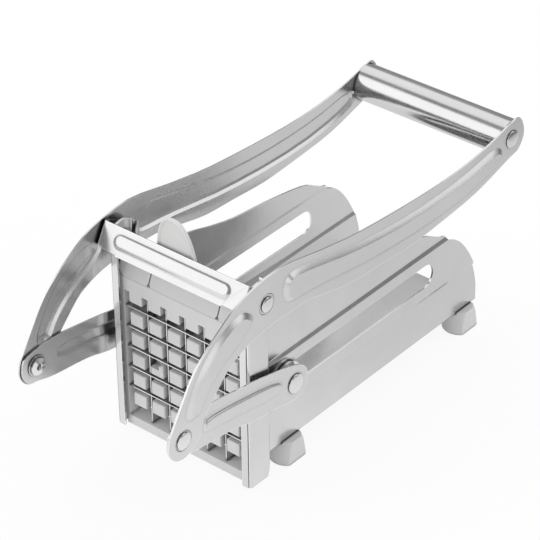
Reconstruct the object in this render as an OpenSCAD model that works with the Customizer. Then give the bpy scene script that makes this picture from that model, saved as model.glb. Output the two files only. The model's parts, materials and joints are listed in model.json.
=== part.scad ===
// French fry cutter: a hand lever draws a studded pusher through a sheet steel trough
// and presses a potato through a square grid of blades at the front.
// Front is -Y, the handle is at the rear, +X is the right side, the feet stand on z = 0.
// All lengths are millimetres. Inside the modules y = 0 is the front edge of the upright blades.

/* [Blade grid] */
// Number of cells across and up the grid
cells = 6; // [5:1:7]
// Distance from one blade to the next
pitch = 12; // [11:0.5:13]
// Thickness of a blade
blade_t = 0.5; // [0.4:0.1:1]
// Depth of a blade from its front edge to its cutting edge
blade_depth = 7.2; // [6:0.2:7.4]
// How far the level blades stand in front of the upright ones
blade_stagger = 0.9; // [0.3:0.1:1.5]
// Height of the grid above the trough's floor
grid_rise = 1.6; // [1:0.1:2.2]
// Length of a blade's end inside its seat in the holder
blade_seat = 1.8; // [1:0.1:2.2]

/* [Blade holder] */
// How far the holder's front face stands in front of the blades
bezel_front = 1.7; // [1:0.1:2.8]
// How far that face lies behind the inside of the columns' front flanges
bezel_set = 1.9; // [1.2:0.1:2.2]
// How far the holder reaches behind the blades
holder_back = 2.9; // [0.2:0.1:3]
// Free width beside the outer cells
side_margin = 1.5; // [0.5:0.1:2]
// Depth of the sill under the lowest cells
sill_drop = 5.7; // [4.5:0.1:6]
// How far the top bar hangs over the top row of cells
top_cover = 2.6; // [1:0.1:3]
// Height of the bar above the opening
top_bar_h = 7.6; // [6:0.1:9]
// Width of a tooth on the top bar
tooth_w = 7.8; // [6:0.1:8.2]
// Length of a tooth below the top bar
tooth_l = 5.6; // [4:0.1:6]
// Depth of a tooth from its front to its back
tooth_depth = 5; // [3:0.5:5.5]
// Lean of the flap above the top bar, in degrees
flap_lean = 23.5; // [20:0.5:26]
// Height of the flap above the top bar
flap_rise = 12; // [10:0.5:12.5]
// Thickness of the flap and its latch tongue
flap_t = 2.4; // [2:0.1:2.6]
// Half the width of the latch tongue
tongue_half = 21.5; // [18:0.5:24]
// Width of the slits beside the tongue
slit_w = 0.8; // [0.6:0.1:1.2]
// Diameter of the relief hole at the foot of each slit
relief_d = 2.2; // [1.6:0.1:3.4]
// Half the width of the thumb tab
tab_half = 11.4; // [10:0.1:14]
// How far the thumb tab sits to the left of the middle
tab_shift = 1.6; // [0:0.1:2]
// Forward lean of the thumb tab, in degrees
tab_lean = 6; // [0:0.5:7]
// Thickness of the thumb tab
tab_t = 2; // [1.6:0.1:2.2]
// Height of the thumb tab's top above the lever pivot
tab_rise = 30.2; // [28:0.1:36]

/* [Front frame] */
// Thickness of the front frame's sheet
frame_t = 1.2; // [1:0.1:1.4]
// Outer bend radius at the front corner of a column
corner_r = 2.4; // [2:0.1:2.6]
// Radius of the rounded column top round the pivot
ear_r = 9.9; // [8.5:0.1:10.5]
// Width of the front flange of a column
flange_w = 5.2; // [3.2:0.1:5.4]
// Free width between the trough's pressed band and the inside of a column
web_gap = 1.9; // [1:0.1:2.2]
// How far the lower rear corner of a column is cut back
corner_cut = 2.9; // [1:0.1:4]
// Height of that cut
corner_cut_h = 8.5; // [6:0.5:10]

/* [Trough] */
// Thickness of the trough's sheet
sheet_t = 1; // [0.8:0.1:1.1]
// Distance from the blades to the rear end of the trough
trough_rear = 182.7; // [170:0.5:190]
// Height of the wall's front end above the trough's floor
wall_h = 80.1; // [76:0.1:82]
// How far the middle band of each wall is pressed outwards
band_out = 1.1; // [0.8:0.1:1.2]
// Height of the pressed band
band_h = 27.8; // [22:0.2:28.4]
// Radius of the bend between floor and wall
bend_r = 1.5; // [1.3:0.1:4]
// Free width between the blade opening and the trough's wall
wall_margin = 0.5; // [0.3:0.1:2]

/* [Feet] */
// Height of a foot under the trough's floor
foot_h = 11.9; // [11:0.1:14]
// Diameter of a foot
foot_d = 18.6; // [17:0.2:20]
// How far a foot stands out beyond the trough's wall
foot_out = 4.2; // [3:0.1:5]
// How far the middle of a foot lies inside the wall
foot_in = 2.3; // [1.5:0.1:3]
// How much smaller the radius of a foot is at its top
foot_taper = 1.9; // [1:0.1:2.4]
// How far the lip of a foot rises beside the wall
foot_lip = 1; // [0.6:0.1:1.4]
// Place of the front feet behind the blades
front_foot_y = 30.6; // [28:0.2:36]
// Place of the rear feet behind the blades
rear_foot_y = 172.5; // [150:0.5:173]
// Diameter of a foot screw
foot_screw_d = 3; // [2.5:0.1:4]
// How far a foot screw lies nearer the middle than its foot
foot_screw_in = 3; // [2:0.1:3.4]
// Height of rubber held between a screw's head and the trough
foot_grip = 7.9; // [6:0.1:9]

/* [Linkage] */
// Place of the lever pivot behind the blades
pivot_y = 4.2; // [3.5:0.1:4.5]
// Height of the lever pivot above the top of the blade grid
pivot_rise = 22.2; // [21:0.1:24]
// Diameter of the pivot and link rivets
rivet_d = 6; // [5:0.1:6.5]
// Distance from the lever pivot to the link pivot
crank_r = 73.7; // [70:0.1:76]
// Direction of the link pivot seen from the lever pivot at rest, in degrees
crank_angle = 216; // [212:0.5:220]
// Angle through which the lever opens, in degrees
open_angle = 96; // [80:1:96]
// Place of the cross axle behind the blades at rest
axle_y = 25.8; // [25:0.1:28]
// Height of the cross axle above the middle of the blade grid
axle_rise = 0.5; // [0:0.1:2]
// Diameter of the cross axle
axle_d = 8; // [7:0.1:9]
// Free width between a column and the link beside it
link_space = 2.2; // [2:0.1:2.6]
// Radius of a link's end round the cross axle
link_axle_r = 9.4; // [9:0.1:10]
// Radius of a link's end round the link pivot
link_crank_r = 9.5; // [9:0.1:10]
// Unit of a link's width, in which its outline is drawn
link_unit = 10; // [9:0.1:10.5]

/* [Lever] */
// Distance from the lever pivot to the handle along the cutter
handle_reach = 193.3; // [180:0.5:205]
// How far the handle lies below the lever pivot
handle_drop = 2.2; // [0:0.1:4]
// Outer diameter of the handle tube
handle_d = 20; // [18:0.5:20.5]
// Wall of the handle tube
handle_wall = 1; // [0.8:0.1:1.5]
// Unit of an arm's width, in which its outline is drawn
arm_unit = 10; // [9:0.1:10.5]
// Thickness of arms, links and locking bar
lever_t = 0.9; // [0.8:0.1:1.2]
// Height of the pressed ribs
rib_h = 1.2; // [0.8:0.1:1.2]
// Radius of the arm's end round the handle
handle_end_r = 10.8; // [10.6:0.1:12]
// Radius of the arm's end round the link pivot
crank_end_r = 10.3; // [9:0.1:11]
// Diameter of the handle screws
handle_screw_d = 5; // [4:0.1:6]

/* [Pusher] */
// Width of a stud at its foot
stud_w = 8; // [7.6:0.1:8.8]
// Height of a stud at its foot
stud_h = 7.3; // [6.6:0.1:8]
// Bevel round the face of a stud
stud_bevel = 0.4; // [0.2:0.1:1]
// How far the studs stand in front of the blades at rest
stud_out = 1.8; // [1:0.1:2.2]
// Place of the pusher plate's front face behind the blades at rest
plate_y = 10.4; // [10.2:0.1:10.8]
// Thickness of the pusher plate
plate_t = 3; // [2.4:0.1:3.4]
// Depth of the ribs behind the pusher plate
web_depth = 7; // [6:0.2:7]
// Thickness of the ribs behind the pusher plate
web_t = 2; // [1.6:0.1:2.4]
// Gap between the pusher plate and the trough
plate_gap = 0.7; // [0.5:0.1:1]
// Length of the sleeve between the carrier and each roller
sleeve_l = 7.6; // [5:0.2:12]
// Height of the carrier
carrier_h = 26; // [24:0.5:28]
// Thickness of the carrier's sheet
carrier_t = 1.5; // [1:0.1:2]
// Diameter of the carrier's screws
carrier_screw_d = 4; // [3:0.1:5]

/* [Locking bar] */
// Distance from the pivot to the bar's outer face
bar_front = 13.9; // [13.7:0.1:14.5]
// Height of the bar's face
bar_w = 14; // [13:0.2:14.4]
// Lean of the bar's face from upright, in degrees
bar_lean = 29.8; // [28:0.2:31]
// Outer bend radius at the bar's corners
bar_corner_r = 2.4; // [2:0.1:3]
// Radius of the bar's ends round the lever pivot
bar_end_r = 8; // [7:0.1:9]
// Depth of the notch at each lower corner of the bar's face
bar_notch = 0.8; // [0.4:0.1:1.6]

/* [Fits] */
// Radial clearance of everything that turns or slides on a pin
running_gap = 0.06; // [0.03:0.01:0.1]
// Clearance between the turning plates, side by side
side_gap = 0.2; // [0.1:0.05:0.3]
// Clearance between the blade holder and its channel
slide_gap = 0.1; // [0.05:0.05:0.2]
// Clearance round each blade in its seat
blade_gap = 0.04; // [0.02:0.01:0.06]

/* [Hidden] */
$fn = 64;
eps = 0.01;

// Finishes
steel = [0.80, 0.81, 0.82];
bright = [0.88, 0.88, 0.89];
plastic = [0.80, 0.80, 0.79];
rubber_grey = [0.66, 0.66, 0.65];

// Heights
floor_top = foot_h + sheet_t;
grid_bottom = floor_top + grid_rise;
grid_size = cells * pitch;
grid_mid = grid_bottom + grid_size / 2;
grid_top = grid_bottom + grid_size;
sill_z = grid_bottom - sill_drop;
open_top = grid_top - top_cover;
holder_top = open_top + top_bar_h;
pivot_z = grid_top + pivot_rise;
axle_z = grid_mid + axle_rise;
strip_z = sill_z - 3.3 - frame_t;
lip_z = strip_z - 0.8;

// Distances from the middle plane to each layer, from the blades outwards
open_half = grid_size / 2 + side_margin;
wall_in = open_half + wall_margin;
wall_out = wall_in + sheet_t;
band_x = wall_out + band_out;
web_in = band_x + web_gap;
web_out = web_in + frame_t;
link_in = web_out + link_space;
link_out = link_in + lever_t;
arm_in = link_out + side_gap;
arm_out = arm_in + lever_t;
bar_x = arm_in - side_gap;
bar_in = bar_x - lever_t;

// Front frame: the channel that holds the blade holder
channel_in = -bezel_front - bezel_set;
frame_front = channel_in - frame_t;
holder_rear = blade_depth + holder_back;
channel_rear = holder_rear + slide_gap;
frame_rear = channel_rear + frame_t;
lip_t = 1.2;
strip_front = lip_t + slide_gap - bezel_front;
strip_rear = frame_rear - corner_cut;

// Pivots as [y, z] at rest and with the lever open
pivot = [pivot_y, pivot_z];
crank = polar(pivot, crank_r, crank_angle);
axle = [axle_y, axle_z];
link_l = norm(axle - crank);
crank_open = polar(pivot, crank_r, crank_angle + open_angle);
axle_open_y = crank_open[0] + sqrt(pow(link_l, 2) - pow(axle_z - crank_open[1], 2));
travel = axle_open_y - axle_y;
handle = [pivot_y + handle_reach, pivot_z - handle_drop];

// The middle of the whole cutter lies over the origin
mid_y = (handle[0] + handle_end_r + crank[0] - crank_end_r) / 2;

// Wall slots and what runs in them, from the carrier outwards
roller_in = wall_in - 0.4;
roller_d = 13.2;
slot_h = roller_d + 0.4;
slot_front = axle_y - 1;
slot_rear = axle_open_y + 0.4;
washer_d = 19;
washer_t = 1.5;
washer_x = band_x + 0.3;
ring_x = washer_x + washer_t + 0.1;
ring_t = 0.8;
axle_end = link_in - 0.3;

// How much narrower a rib's hollow is than the rib
rib_wall = 0.5;

// Diameters of rivet heads and of the collars round the rivets
inner_head_d = 1.5 * rivet_d;
pivot_head_d = 1.3 * rivet_d;
crank_head_d = 1.5 * rivet_d;
axle_head_d = 1.73 * rivet_d;
pivot_collar_d = 2 * rivet_d;
crank_washer_d = 1.8 * rivet_d;

// Points on circles and smooth curves
function polar(c, r, a) = [c[0] + r * cos(a), c[1] + r * sin(a)];
function arc(c, r, a0, a1, n) = [for (i = [0:n]) polar(c, r, a0 + (a1 - a0) * i / n)];
function reversed(p) = [for (i = [len(p) - 1:-1:0]) p[i]];
function flipped(p) = [for (i = [len(p) - 1:-1:0]) [-p[i][0], p[i][1]]];
function blend(a, b, c, d, t) =
    b + 0.5 * t * ((c - a) + t * ((2 * a - 5 * b + 4 * c - d) + t * (3 * b - a - 3 * c + d)));
function loop_curve(p, n = 3) = [
    for (i = [0:len(p) - 1])
        for (k = [0:n - 1])
            blend(p[(i + len(p) - 1) % len(p)], p[i], p[(i + 1) % len(p)], p[(i + 2) % len(p)], k / n)
];
function open_curve(p, n = 3) = concat([
    for (i = [0:len(p) - 2])
        for (k = [0:n - 1])
            blend(p[max(i - 1, 0)], p[i], p[i + 1], p[min(i + 2, len(p) - 1)], k / n)
], [p[len(p) - 1]]);
function bow(a, b, c, t) = pow(1 - t, 2) * (a + b) / 2 + 2 * t * (1 - t) * b + t * t * (b + c) / 2;
function soft_loop(p, n = 3) = [
    for (i = [0:len(p) - 1])
        for (k = [0:n - 1])
            bow(p[(i + len(p) - 1) % len(p)], p[i], p[(i + 1) % len(p)], k / n)
];
function side_of(a, b) = [a[1] - b[1], b[0] - a[0]] / norm(b - a);
function shrunk(p, d) = [
    for (i = [0:len(p) - 1])
        p[i] + d * side_of(p[(i + len(p) - 1) % len(p)], p[(i + 1) % len(p)])
];

// A point given along the line from a to b, as a share of its length, and off it to the left
function off_line(a, b, share, off) = a + share * (b - a) + off * side_of(a, b);

// Puts a module's own y = 0 where the cutter's middle needs it
module placed() {
    translate([0, -mid_y, 0]) children();
}

// A shape on the right side and its mirror image on the left
module both_sides() {
    children();
    mirror([1, 0, 0]) children();
}

// Extrudes a y-z outline from x0 to x1
module across(x0, x1) {
    translate([x0, 0, 0]) rotate([90, 0, 90]) linear_extrude(x1 - x0) children();
}

// Extrudes an x-z outline from y0 to y1
module along(y0, y1) {
    translate([0, y1, 0]) rotate([90, 0, 0]) linear_extrude(y1 - y0) children();
}

// A round pin along x at the point at = [y, z]
module pin(x0, x1, d, at) {
    translate([x0, at[0], at[1]]) rotate([0, 90, 0]) cylinder(h = x1 - x0, d = d);
}

// A ring along x
module collar(x0, x1, d, bore, at) {
    difference() {
        pin(x0, x1, d, at);
        pin(x0 - 1, x1 + 1, bore, at);
    }
}

// A domed head that starts at x and points outwards, with a low straight edge
module dome(x, d, h, at) {
    edge = 0.35 * h;
    crown = [for (a = [0:15:90]) [d / 2 * cos(a), edge + (h - edge) * sin(a)]];
    translate([x, at[0], at[1]]) rotate([0, 90, 0])
        rotate_extrude() polygon(concat([[0, 0], [d / 2, 0]], crown));
}

// A rib is a pair: its outline, and a number such that point i of the outline lies across the rib
// from point number - i, so that the rib's two long sides can be joined by a strip of triangles
function soft_rib(p, partners, n = 3) = [soft_loop(p, n), n * (partners + 1)];
function strip(n, partners) = [
    for (i = [ceil(partners / 2):floor((partners + n) / 2) - 1])
        for (t = [[i, i + 1, partners - i - 1], [i, partners - i - 1, partners - i]])
            if ((t[2] - t[0]) % n != 0 && (t[2] - t[1]) % n != 0)
                [for (v = t) (v + n) % n]
];

// A pressed rib with sloping flanks on a y-z outline, from x0 to x1
module rib(r, slope, x0, x1) {
    low = r[0];
    high = shrunk(low, slope);
    n = len(low);
    closing = strip(n, r[1]);
    polyhedron(
        points = concat([for (p = low) [x0, p[0], p[1]]], [for (p = high) [x1, p[0], p[1]]]),
        faces = concat(
            closing,
            [for (t = closing) [n + t[2], n + t[1], n + t[0]]],
            [for (i = [0:n - 1]) [i, n + i, n + (i + 1) % n]],
            [for (i = [0:n - 1]) [i, n + (i + 1) % n, (i + 1) % n]]
        )
    );
}

// A flat plate with pressed ribs: raised outside, hollow inside
module ribbed_plate(x0, outline, ribs) {
    slope = 1.4;
    difference() {
        union() {
            across(x0, x0 + lever_t) polygon(outline);
            for (r = ribs) rib(r, slope, x0 + lever_t - eps, x0 + lever_t + rib_h);
        }
        for (r = ribs) rib([shrunk(r[0], rib_wall), r[1]], slope, x0 - eps, x0 + rib_h - eps);
    }
}

// Trough: a wall's section has the same outline outside and, moved by the sheet, inside
crease_h = 1.3;

function crease(z, x0, x1) = [
    for (i = [0:4])
        [x0 + (x1 - x0) * (1 - cos(45 * i)) / 2, z + crease_h * (i / 4 - 0.5)]
];
function wall_outline(inset) = concat(
    [[0, foot_h + inset]],
    arc([wall_out - bend_r, foot_h + bend_r], bend_r - inset, -90, 0, 6),
    crease(axle_z - band_h / 2, wall_out - inset, band_x - inset),
    crease(axle_z + band_h / 2, band_x - inset, wall_out - inset),
    [[wall_out - inset, floor_top + wall_h + 1]]
);

// Side view of the trough: a point of the rear edge lies so far before the rear end and above the feet
function rear_edge(before, above) = [trough_rear - before, foot_h + above];

module trough_side() {
    top = floor_top + wall_h;
    edge = open_curve([
        rear_edge(0, -1), rear_edge(0, 4.5), rear_edge(0.7, 14.1), rear_edge(5.7, 29.6),
        rear_edge(15.2, 43.9), rear_edge(24.2, 50.8), rear_edge(36.7, 58.1), rear_edge(48.7, 63.6),
        [trough_rear * 0.57, top - 12.6], [trough_rear * 0.44, top - 9.9], [trough_rear * 0.34, top - 5.8],
        [trough_rear * 0.27, top - 2], [trough_rear * 0.2, top], [frame_rear, top]
    ]);
    polygon(concat([[frame_rear, foot_h - 1]], edge));
}

module trough() {
    color(steel) placed() difference() {
        intersection() {
            along(frame_rear, trough_rear + 1)
                polygon(concat(
                    flipped(wall_outline(0)), wall_outline(0),
                    reversed(wall_outline(sheet_t)), reversed(flipped(wall_outline(sheet_t)))
                ));
            across(-band_x - 1, band_x + 1) trough_side();
        }
        wall_slot();
        foot_places(foot_screw_x) translate([0, 0, foot_h - 1]) cylinder(h = sheet_t + 2, d = foot_screw_d);
    }
}

module wall_slot() {
    reach = band_x + 2;
    translate([-reach, slot_front, axle_z - slot_h / 2]) cube([2 * reach, slot_rear - slot_front, slot_h]);
    for (y = [slot_front, slot_rear]) pin(-reach, reach, slot_h, [y, axle_z]);
}

// Front frame
module column_section() {
    c = web_out - corner_r;
    polygon(concat(
        [[web_out - flange_w, frame_front]],
        arc([c, frame_front + corner_r], corner_r, -90, 0, 6),
        arc([c, frame_rear - corner_r], corner_r, 0, 90, 6),
        [[wall_in, frame_rear], [wall_in, channel_rear]],
        arc([c, frame_rear - corner_r], corner_r - frame_t, 90, 0, 6),
        arc([c, frame_front + corner_r], corner_r - frame_t, 0, -90, 6),
        [[web_out - flange_w, channel_in]]
    ));
}

// Side view of a column, with its lower rear corner cut back
module column_side() {
    polygon([
        [frame_front - 1, lip_z], [frame_rear - corner_cut, lip_z], [frame_rear, lip_z + corner_cut_h],
        [frame_rear, pivot_z], [frame_front - 1, pivot_z]
    ]);
    translate(pivot) circle(r = ear_r);
}

// Side view of the round ear behind the column's rounded front corner
module ear() {
    front = frame_front + corner_r;
    intersection() {
        translate(pivot) circle(r = ear_r);
        translate([front, pivot_z - ear_r]) square([pivot_y + ear_r - front, 2 * ear_r]);
    }
}

module front_frame() {
    color(steel) placed() union() {
        both_sides() difference() {
            union() {
                intersection() {
                    translate([0, 0, lip_z]) linear_extrude(pivot_z + ear_r - lip_z) column_section();
                    across(0, web_out + 1) column_side();
                }
                across(web_in, web_out) ear();
            }
            pin(0, web_out + 1, rivet_d, pivot);
        }
        translate([-web_in - eps, strip_front, strip_z])
            cube([2 * (web_in + eps), strip_rear - strip_front, frame_t]);
    }
}

// Blade holder: its section fills the columns' channels, and its corners clear their bends
module holder_section() {
    half = web_in - slide_gap;
    front = channel_in + slide_gap;
    front_cut = 0.9;
    rear_cut = 0.6 * (corner_r - frame_t);
    right = [
        [wall_out, -bezel_front], [wall_out, front], [half - front_cut, front], [half, 0],
        [half, holder_rear - rear_cut], [half - rear_cut, holder_rear]
    ];
    polygon(concat(right, flipped(right)));
}

// The lower rear corner follows the cut in the columns
module holder_corner_cut() {
    across(-web_out, web_out) polygon([
        [holder_rear - corner_cut, lip_z], [holder_rear, lip_z + corner_cut_h],
        [holder_rear + 1, lip_z + corner_cut_h], [holder_rear + 1, lip_z]
    ]);
}

module flap() {
    foot = [-bezel_front, holder_top];
    run = flap_rise * tan(flap_lean);
    back = flap_t / cos(flap_lean);
    wide = web_in - 0.6;
    flare_h = 0.8 * (wide - open_half);
    slit_foot = holder_top + 0.6;
    right = [
        [open_half, holder_top - 1], [open_half, holder_top],
        [wide, holder_top + flare_h], [wide, holder_top + flap_rise]
    ];
    difference() {
        intersection() {
            across(-web_in, web_in) polygon([
                foot, foot + [run, flap_rise], foot + [run + back, flap_rise], foot + [back, 0],
                foot + [back, -1], foot + [0, -1]
            ]);
            along(-20, 20) polygon(concat(right, flipped(right)));
        }
        both_sides() {
            translate([tongue_half - slit_w / 2, -20, slit_foot]) cube([slit_w, 40, 40]);
            translate([tongue_half, 20, slit_foot]) rotate([90, 0, 0]) cylinder(h = 40, d = relief_d);
        }
    }
    thumb_tab(foot[0] + run + back, holder_top + flap_rise - tab_t);
}

// A shelf from the flap's top to y = rear, and on its front edge the tab, which passes behind the bar
module thumb_tab(rear, shelf_z) {
    bar_back = polar(pivot, bar_front - lever_t, 180 - bar_lean);
    bar_edge = bar_back + bar_w / 2 * [sin(bar_lean), cos(bar_lean)];
    front = bar_edge[0] + 0.35 + (bar_edge[1] - shelf_z) * tan(tab_lean);
    tab_h = (pivot_z + tab_rise - shelf_z) / cos(tab_lean);
    crown_h = 0.63 * tab_rise;
    crown = [
        for (a = [0:10:90])
            [tab_half * pow(cos(a), 0.74), tab_h - crown_h + crown_h * pow(sin(a), 1.48)]
    ];
    right = concat([[tab_half, 0]], crown);
    translate([-tab_shift, front, shelf_z]) {
        translate([-tab_half, 0, 0]) cube([2 * tab_half, rear - front, tab_t]);
        rotate([tab_lean, 0, 0]) along(0, tab_t) polygon(concat(right, flipped(right)));
    }
}

module blade_holder() {
    lip_h = strip_z + frame_t - lip_z;
    color(plastic) placed() difference() {
        union() {
            translate([0, 0, lip_z + lip_h]) linear_extrude(holder_top - lip_z - lip_h) holder_section();
            translate([-wall_out, -bezel_front, lip_z]) cube([2 * wall_out, lip_t, lip_h + eps]);
            flap();
        }
        holder_corner_cut();
        difference() {
            translate([-open_half, -20, sill_z]) cube([2 * open_half, 40, open_top - sill_z]);
            for (i = [0:cells - 1])
                translate([cell_at(i) - tooth_w / 2, -bezel_front, open_top - tooth_l])
                    cube([tooth_w, tooth_depth, tooth_l + 1]);
        }
        vertical_set(blade_gap);
        horizontal_set(blade_gap);
    }
}

// Blades: half-lapped, each end in a seat in the holder
lap_y = (blade_depth - blade_stagger) / 2;
cutting_edge = 0.8;
edge_half = 0.05;

function cell_at(i) = (i - (cells - 1) / 2) * pitch;
function blade_at(i) = (i - cells / 2) * pitch;

// Outline of a blade's section: a flat front edge and a sharp cutting edge at the rear
module blade_section(y0, gap) {
    half = blade_t / 2 + gap;
    rear = y0 + blade_depth + gap;
    right = [
        [half, y0 - gap], [half, rear - cutting_edge], [edge_half + gap, rear]
    ];
    polygon(concat(right, flipped(right)));
}

module vertical_set(gap) {
    z0 = sill_z - blade_seat - gap;
    z1 = open_top + blade_seat + gap;
    for (i = [1:cells - 1])
        translate([blade_at(i), 0, z0]) linear_extrude(z1 - z0) blade_section(0, gap);
}

module horizontal_set(gap) {
    half = open_half + blade_seat + gap;
    for (i = [1:cells - 1])
        translate([-half, 0, grid_mid + blade_at(i)]) rotate([0, 90, 0])
            linear_extrude(2 * half) blade_section(-blade_stagger, gap);
}

module vertical_blades() {
    half = blade_t / 2 + blade_gap;
    color(bright) placed() difference() {
        vertical_set(0);
        for (i = [1:cells - 1])
            translate([-open_half, -1, grid_mid + blade_at(i) - half])
                cube([2 * open_half, lap_y + 1 + blade_gap, 2 * half]);
    }
}

module horizontal_blades() {
    half = blade_t / 2 + blade_gap;
    color(bright) placed() difference() {
        horizontal_set(0);
        for (i = [1:cells - 1])
            translate([blade_at(i) - half, lap_y - blade_gap, grid_bottom])
                cube([2 * half, blade_depth, grid_size]);
    }
}

// Lever pivot
module pivot_rivets() {
    head_t = 1.4;
    color(bright) placed() both_sides() {
        pin(web_in - head_t, web_in, inner_head_d, pivot);
        pin(web_in - eps, arm_out + side_gap / 2 + eps, rivet_d, pivot);
        dome(arm_out + side_gap / 2, pivot_head_d, 1.2, pivot);
    }
}

module pivot_spacers() {
    color(bright) placed() both_sides()
        collar(web_out, bar_in - side_gap / 4, pivot_collar_d, rivet_d + 2 * running_gap, pivot);
}

// Feet: a lip rises outside the trough's wall
foot_x = wall_out - foot_in;
foot_screw_x = foot_x - foot_screw_in;
foot_seat = foot_h - foot_grip;
foot_screw_head = 2.2;

module foot_places(x) {
    for (y = [front_foot_y, rear_foot_y]) both_sides() translate([x, y, 0]) children();
}

module foot_form() {
    r = foot_d / 2;
    top = foot_h + foot_lip;
    ring_in = r - 3.4;
    rotate_extrude() polygon(concat(
        [[0, 1], [ring_in, 1], [ring_in, 0]],
        arc([r - 1, 1], 1, -90, 0, 4),
        [
            [r - 0.6 * foot_taper, 0.75 * top], [r - foot_taper, top - 0.5],
            [r - foot_taper - 0.5, top], [0, top]
        ]
    ));
}

module feet() {
    slit = 0.5;
    color(rubber_grey) placed() difference() {
        foot_places(foot_x) foot_form();
        both_sides() {
            translate([wall_out + foot_out, 0, -1]) cube([foot_d, 2 * trough_rear, 2 * foot_h]);
            translate([-eps, 0, foot_h]) cube([wall_out + slit + eps, 2 * trough_rear, foot_h]);
        }
        foot_places(foot_screw_x) {
            translate([0, 0, -1]) cylinder(h = foot_seat + 1, d = 2 * foot_screw_d);
            translate([0, 0, -1]) cylinder(h = foot_h + 2, d = foot_screw_d);
        }
    }
}

module foot_screws() {
    color(bright) placed() foot_places(foot_screw_x) {
        translate([0, 0, foot_seat - foot_screw_head]) cylinder(h = foot_screw_head, d = 1.8 * foot_screw_d);
        translate([0, 0, foot_seat - eps]) cylinder(h = floor_top - foot_seat + eps, d = foot_screw_d);
    }
}

// Lever arm: points are given as a share of the way from the lever pivot to the handle or to the link
// pivot, and as a distance off that line in units of the arm's width
function to_handle(share, off) = off_line(pivot, handle, share, off * arm_unit);
function to_crank(share, off) = off_line(pivot, crank, share, -off * arm_unit);

function arm_outline() = loop_curve(concat(
    reversed([
        to_crank(0.97, 1.25), to_crank(0.83, 1.65), to_crank(0.69, 2.02), to_crank(0.56, 2.19),
        to_crank(0.33, 2.17), to_crank(0.082, 1.86), to_handle(0.05, 1.47), to_handle(0.208, 0.94),
        to_handle(0.365, 0.5), to_handle(0.6, 0.21), to_handle(0.76, 0.22), to_handle(0.9, 0.53)
    ]),
    arc(crank, crank_end_r, 155, 315, 4),
    [
        to_crank(0.91, -0.98), to_crank(0.81, -0.53), to_crank(0.62, -0.25), to_crank(0.44, -0.14),
        to_crank(0.268, -0.51), to_crank(0.12, -1.08), to_handle(0.05, -1.33), to_handle(0.159, -1.37),
        to_handle(0.238, -1.7), to_handle(0.336, -2.07), to_handle(0.44, -2.16), to_handle(0.57, -2.28),
        to_handle(0.7, -2.12), to_handle(0.85, -1.8)
    ],
    arc(handle, handle_end_r, -98, 72, 4)
));

function long_rib() = soft_rib([
    to_handle(0.075, -0.84), to_handle(0.183, -0.9), to_handle(0.41, -1.6), to_handle(0.73, -1.83),
    to_handle(0.95, -1.12), to_handle(0.965, -0.4), to_handle(0.93, 0.22), to_handle(0.8, -0.32),
    to_handle(0.565, -0.46), to_handle(0.33, -0.02), to_handle(0.12, 0.9), to_handle(0.074, 0.85),
    to_handle(0.055, 0.02)
], 10);

function short_rib() = soft_rib([
    to_crank(0.12, 0.2), to_crank(0.12, 0.8), to_crank(0.15, 1.45), to_crank(0.291, 1.86),
    to_crank(0.457, 2), to_crank(0.64, 1.81), to_crank(0.86, 1.1), to_crank(0.91, 0.55),
    to_crank(0.81, -0.12), to_crank(0.7, 0.32), to_crank(0.514, 0.5), to_crank(0.321, 0.23)
], 14);

module arm() {
    difference() {
        ribbed_plate(arm_in, arm_outline(), [long_rib(), short_rib()]);
        pin(arm_in - 1, arm_out + 3, rivet_d + 2 * running_gap, pivot);
        pin(arm_in - 1, arm_out + 3, rivet_d, crank);
        pin(arm_in - 1, arm_out + 3, handle_screw_d, handle);
    }
}

module right_arm() {
    color(steel) placed() arm();
}

module left_arm() {
    color(steel) placed() mirror([1, 0, 0]) arm();
}

module handle_tube() {
    color(steel) placed() collar(-arm_in, arm_in, handle_d, handle_d - 2 * handle_wall, handle);
}

module handle_plugs() {
    plug_l = 14;
    color(plastic) placed() both_sides()
        collar(arm_in - plug_l, arm_in, handle_d - 2 * handle_wall, handle_screw_d, handle);
}

module handle_screws() {
    screw_l = 11;
    color(bright) placed() both_sides() {
        pin(arm_in - screw_l, arm_out + eps, handle_screw_d, handle);
        dome(arm_out, 1.9 * handle_screw_d, 1.3, handle);
    }
}

// Link pivot: the rivet is fixed in the arm, and its inner head holds a washer against the link
crank_washer_t = 0.6;
crank_head_x = link_in - crank_washer_t - side_gap / 2;

module crank_rivets() {
    head_t = 1.2;
    color(bright) placed() both_sides() {
        pin(crank_head_x - head_t, crank_head_x, inner_head_d, crank);
        pin(crank_head_x - eps, arm_out + eps, rivet_d, crank);
        dome(arm_out, crank_head_d, 1.3, crank);
    }
}

module crank_washers() {
    bore = rivet_d + 2 * running_gap;
    color(bright) placed() both_sides()
        collar(crank_head_x, crank_head_x + crank_washer_t, crank_washer_d, bore, crank);
}

// Links: points are given as a share of the way from the link pivot to the cross axle, and as a
// distance off that line in units of the link's width
function to_axle(share, off) = off_line(crank, axle, share, off * link_unit);

function link_outline() = loop_curve(concat(
    arc(axle, link_axle_r, -100, 60, 4),
    [to_axle(0.92, 1.08), to_axle(0.6, 1.22), to_axle(0.3, 1.21), to_axle(0.12, 1.13)],
    arc(crank, link_crank_r, 125, 275, 4),
    [to_axle(0.16, -0.99), to_axle(0.44, -0.87), to_axle(0.63, -1), to_axle(0.8, -0.94)]
));

function link_rib() = soft_rib([
    to_axle(0.155, 0.17), to_axle(0.185, -0.3), to_axle(0.494, -0.16), to_axle(0.74, -0.28),
    to_axle(0.86, -0.1), to_axle(0.89, 0.32), to_axle(0.82, 0.76), to_axle(0.478, 0.75),
    to_axle(0.185, 0.66)
], 9);

module link() {
    difference() {
        ribbed_plate(link_in, link_outline(), [link_rib()]);
        pin(link_in - 1, link_out + 3, rivet_d + 2 * running_gap, crank);
        pin(link_in - 1, link_out + 3, rivet_d, axle);
    }
}

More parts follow.
